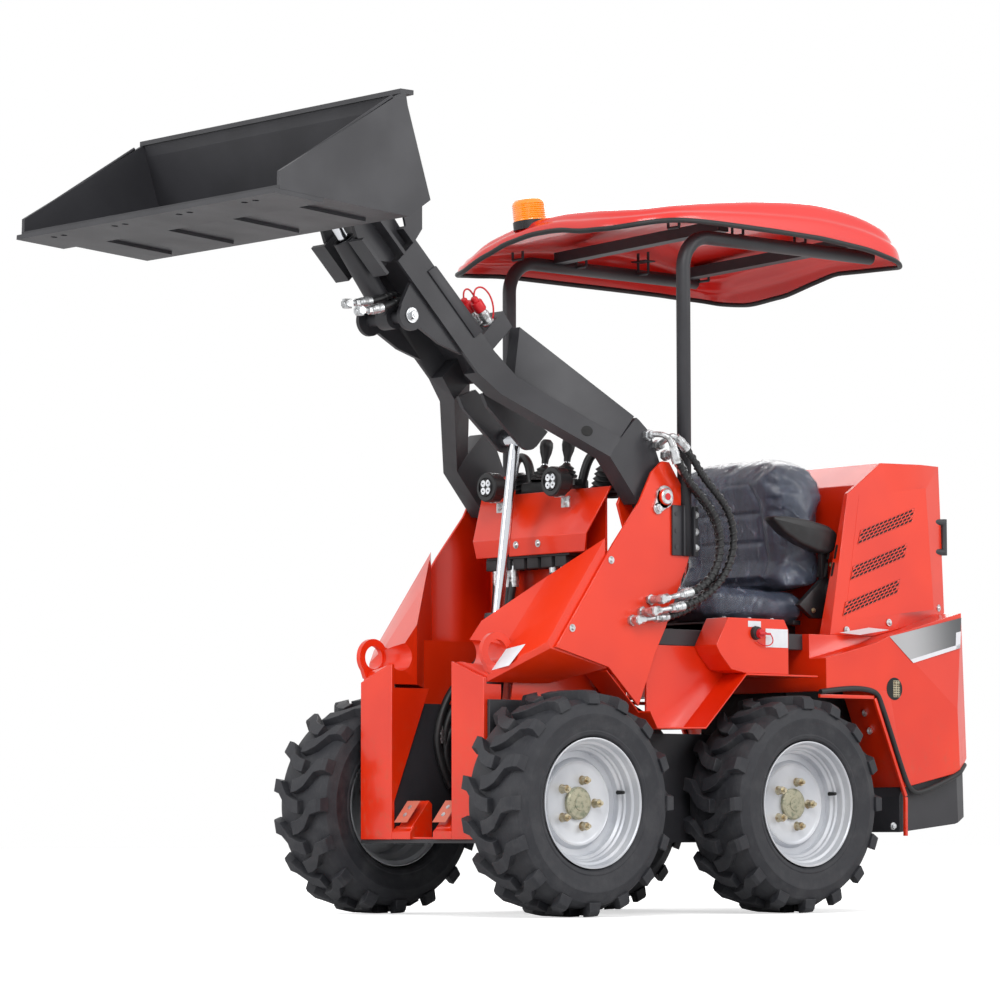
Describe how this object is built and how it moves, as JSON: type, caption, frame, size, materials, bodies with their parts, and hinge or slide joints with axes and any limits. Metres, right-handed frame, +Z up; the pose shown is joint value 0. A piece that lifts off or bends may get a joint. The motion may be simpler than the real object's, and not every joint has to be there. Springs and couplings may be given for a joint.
{
  "type": "ride-on mini skid steer loader",
  "caption": "Compact ride-on skid steer loader with a forked lift arm, a wide bucket, a seat and a sun canopy, on lugged tyres.",
  "frame": {"origin": "on the ground midway between the four wheels", "axes": "+X forward, +Y to the machine's left, +Z up"},
  "size_m": [2.6458, 1.082, 2.052],
  "materials": {
    "red_paint": "gloss",
    "charcoal_paint": "semi-gloss",
    "chrome": "polished",
    "engine_iron": "matt",
    "canopy_shell": "gloss",
    "black_rubber": "matt",
    "amber_lens": "gloss",
    "lamp_black": "satin",
    "zinc": "satin",
    "seat_vinyl": "satin",
    "tyre": "matt",
    "rim_silver": "satin"
  },
  "bodies": {
    "root": {"main_frame": "charcoal_paint", "front_pillars": "red_paint", "front_crossmember": "charcoal_paint", "slope_covers": "red_paint", "arm_tower_left": "red_paint", "arm_tower_right": "red_paint", "mid_fenders": "red_paint", "side_consoles": "red_paint", "dash_cover": "red_paint", "control_levers": "charcoal_paint", "work_lamps": "lamp_black", "tower_hoses": "black_rubber", "seat_base": "charcoal_paint", "seat_cushion": "seat_vinyl", "seat_back": "seat_vinyl", "armrests": "charcoal_paint", "rear_body": "red_paint", "rear_skirt": "charcoal_paint", "engine_hood": "red_paint", "hood_handle": "charcoal_paint", "engine_block": "engine_iron", "canopy": "canopy_shell", "canopy_trim": "black_rubber", "canopy_posts": "charcoal_paint", "canopy_rails": "charcoal_paint", "beacon": "amber_lens"},
    "arm": {"lift_arm": "charcoal_paint", "arm_head": "charcoal_paint", "hose_cover": "charcoal_paint", "quick_couplers": "zinc"},
    "lift_barrel_body": {"lift_barrel": "charcoal_paint"},
    "lift_rod_body": {"lift_rod": "chrome"},
    "tilt_barrel_body": {"tilt_barrel": "charcoal_paint"},
    "tilt_rod_body": {"tilt_rod": "chrome"},
    "tool": {"coupler": "charcoal_paint", "bucket": "charcoal_paint", "cutting_edge": "charcoal_paint"},
    "wheel_front_left": {"tyre_front_left": "tyre", "rim_front_left": "rim_silver"},
    "wheel_front_right": {"tyre_front_right": "tyre", "rim_front_right": "rim_silver"},
    "wheel_rear_left": {"tyre_rear_left": "tyre", "rim_rear_left": "rim_silver"},
    "wheel_rear_right": {"tyre_rear_right": "tyre", "rim_rear_right": "rim_silver"}
  },
  "joints": [
    {"name": "wheel_spin_front_left", "type": "hinge", "parent": "root", "child": "wheel_front_left", "pos_m": [0.39, 0.385, 0.292], "axis": [0, 1, 0], "continuous": true},
    {"name": "wheel_spin_front_right", "type": "hinge", "parent": "root", "child": "wheel_front_right", "pos_m": [0.39, -0.385, 0.292], "axis": [0, 1, 0], "continuous": true},
    {"name": "wheel_spin_rear_left", "type": "hinge", "parent": "root", "child": "wheel_rear_left", "pos_m": [-0.39, 0.385, 0.292], "axis": [0, 1, 0], "continuous": true},
    {"name": "wheel_spin_rear_right", "type": "hinge", "parent": "root", "child": "wheel_rear_right", "pos_m": [-0.39, -0.385, 0.292], "axis": [0, 1, 0], "continuous": true},
    {"name": "arm_lift", "type": "hinge", "parent": "root", "child": "arm", "pos_m": [0.023, 0, 1.103], "axis": [0, -1, 0], "range_deg": [-96, 4]},
    {"name": "bucket_tilt", "type": "hinge", "parent": "arm", "child": "tool", "pos_m": [0.85, 0, 1.915], "axis": [0, 1, 0], "range_deg": [-105, 38]},
    {"name": "lift_barrel_turn", "type": "hinge", "parent": "root", "child": "lift_barrel_body", "pos_m": [0.361, 0, 0.3], "axis": [0, -1, 0], "range_deg": [-2, 12]},
    {"name": "lift_rod_slide", "type": "slide", "parent": "lift_barrel_body", "child": "lift_rod_body", "axis": [-0.1342, 0, 0.991], "range_m": [-0.385, 0.03]},
    {"name": "tilt_barrel_turn", "type": "hinge", "parent": "arm", "child": "tilt_barrel_body", "pos_m": [0.668, 0, 1.562], "axis": [0, -1, 0], "range_deg": [-8, 20]},
    {"name": "tilt_rod_slide", "type": "slide", "parent": "tilt_barrel_body", "child": "tilt_rod_body", "axis": [0.6237, 0, 0.7817], "range_m": [-0.045, 0.116]}
  ],
  "couplings": [
    {"joint": "lift_barrel_turn", "follows": "arm_lift", "ratio": -0.06},
    {"joint": "lift_rod_slide", "follows": "arm_lift", "m_per_rad": 0.22315},
    {"joint": "tilt_barrel_turn", "follows": "bucket_tilt", "ratio": -0.063},
    {"joint": "tilt_rod_slide", "follows": "bucket_tilt", "m_per_rad": -0.0614}
  ]
}
